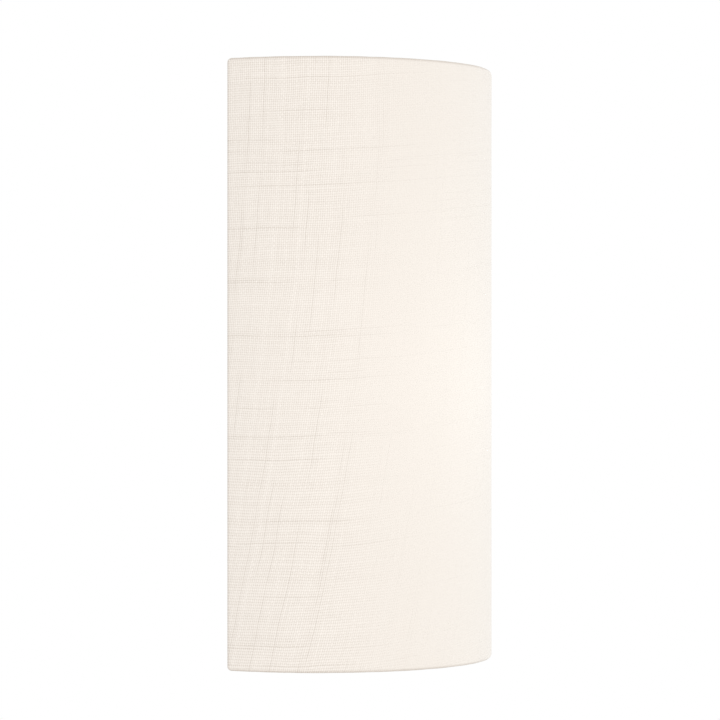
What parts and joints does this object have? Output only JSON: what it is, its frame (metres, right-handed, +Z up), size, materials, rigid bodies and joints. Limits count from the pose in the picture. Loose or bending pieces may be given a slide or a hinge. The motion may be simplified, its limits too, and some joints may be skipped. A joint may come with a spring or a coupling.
{
  "type": "fabric shade wall light",
  "caption": "Half-round linen shade wall light on a flat steel back plate, with a screw lampholder, a pear-shaped lamp and two captive thumb screws that release the shade.",
  "frame": {"origin": "middle of the back plate's flat rear face, on the wall", "axes": "+Z up along the shade's height, +Y into the wall, +X to the right seen from the room"},
  "size_m": [0.176, 0.091, 0.3],
  "materials": {
    "linen": "off-white linen, plain weave with slubs",
    "liner_sheet": "stiff white translucent sheet",
    "frame_wire": "white powder coat on steel wire and strip",
    "nylon": "natural nylon",
    "nickel": "nickel plate",
    "spring_steel": "plain spring steel",
    "plate_paint": "white powder coat, fine texture",
    "zinc": "bright zinc plate",
    "holder_plastic": "white thermoset",
    "insulator": "steatite",
    "brass": "bare brass",
    "opal": "opal dome, satin",
    "bulb_plastic": "white plastic over aluminium",
    "black_glass": "black vitrite",
    "solder": "solder",
    "aluminium": "aluminium-backed board",
    "phosphor": "yellow phosphor",
    "circuit_board": "green solder mask",
    "component": "sleeved components",
    "block_plastic": "natural polyamide",
    "grommet_rubber": "black rubber",
    "tinned": "tinned copper",
    "live_insulation": "brown insulation",
    "neutral_insulation": "blue insulation",
    "earth_insulation": "green insulation, yellow stripe"
  },
  "bodies": {
    "wall_frame": {"back_plate": "plate_paint", "upper_pillar": "zinc", "lower_pillar": "zinc", "lamp_bracket": "plate_paint", "bracket_screws": "zinc", "holder_screws": "zinc", "lampholder_base": "holder_plastic", "lampholder_core": "insulator", "lampholder_shell": "holder_plastic", "screw_sleeve": "nickel", "centre_contact": "brass", "side_contact": "brass", "holder_terminals": "brass", "holder_terminal_screws": "zinc", "terminal_block": "block_plastic", "terminal_tubes": "brass", "terminal_screws": "zinc", "block_screws": "zinc", "cable_grommet": "grommet_rubber", "earth_tag": "tinned", "earth_washer": "spring_steel", "earth_screw": "brass", "live_wire": "live_insulation", "neutral_wire": "neutral_insulation", "earth_wire": "earth_insulation"},
    "shade": {"shade_fabric": "linen", "shade_liner": "liner_sheet", "top_ring": "frame_wire", "bottom_ring": "frame_wire", "left_upright": "frame_wire", "right_upright": "frame_wire", "upper_strap": "frame_wire", "lower_strap": "frame_wire", "strap_washers": "nylon"},
    "upper_screw": {"upper_thumb_screw": "nickel", "upper_retaining_ring": "spring_steel"},
    "lower_screw": {"lower_thumb_screw": "nickel", "lower_retaining_ring": "spring_steel"},
    "lamp_tip": {"cap_contact": "solder"},
    "lamp": {"bulb_globe": "opal", "bulb_housing": "bulb_plastic", "bulb_cap": "nickel", "cap_insulator": "black_glass", "led_board": "aluminium", "led_chips": "phosphor", "driver_board": "circuit_board", "driver_parts": "component"}
  },
  "joints": [
    {"name": "shade_pull", "type": "slide", "parent": "wall_frame", "child": "shade", "axis": [0, -1, 0], "range_m": [0, 0.13]},
    {"name": "upper_screw_turn", "type": "hinge", "parent": "shade", "child": "upper_screw", "pos_m": [0, -0.0153, 0.112], "axis": [0, -1, 0], "continuous": true},
    {"name": "lower_screw_turn", "type": "hinge", "parent": "shade", "child": "lower_screw", "pos_m": [0, -0.0153, -0.112], "axis": [0, -1, 0], "continuous": true},
    {"name": "bulb_rise", "type": "slide", "parent": "wall_frame", "child": "lamp_tip", "axis": [0, 0, 1], "range_m": [0, 0.01089]},
    {"name": "bulb_turn", "type": "hinge", "parent": "lamp_tip", "child": "lamp", "pos_m": [0, -0.045, -0.062], "axis": [0, 0, 1], "range_deg": [0, 1080]}
  ],
  "couplings": [
    {"joint": "bulb_rise", "follows": "bulb_turn", "m_per_rad": 0.00057757}
  ]
}
